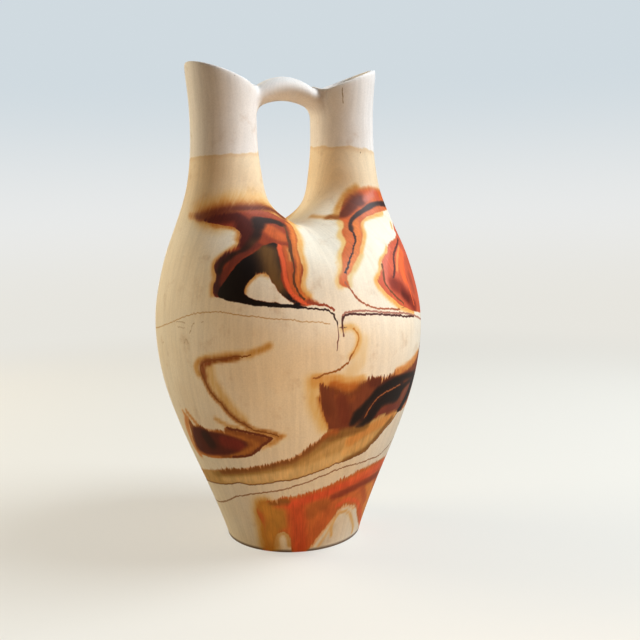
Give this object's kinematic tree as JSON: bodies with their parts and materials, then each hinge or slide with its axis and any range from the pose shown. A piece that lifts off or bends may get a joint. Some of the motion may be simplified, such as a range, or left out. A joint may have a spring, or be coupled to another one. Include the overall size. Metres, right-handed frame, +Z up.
{
  "type": "wedding vase",
  "caption": "Two-spouted fired-clay vase with a full ovoid body, slanted spout rims and an arched handle bridging the spouts.",
  "frame": {"origin": "middle of the foot, on the table the vase stands on", "axes": "+Z up along the body's axis; +X from the left spout to the right spout; the decorated front faces -Y"},
  "size_m": [0.1338, 0.1338, 0.2352],
  "materials": {
    "dipped_clay": "unglazed bisque with floated swirls of pigment",
    "left_spout_clay": "bare unglazed bisque",
    "right_spout_clay": "bare unglazed bisque",
    "handle_clay": "bare unglazed bisque"
  },
  "bodies": {
    "root": {"body": "dipped_clay", "left_spout": "left_spout_clay", "right_spout": "right_spout_clay", "handle": "handle_clay"}
  },
  "joints": []
}
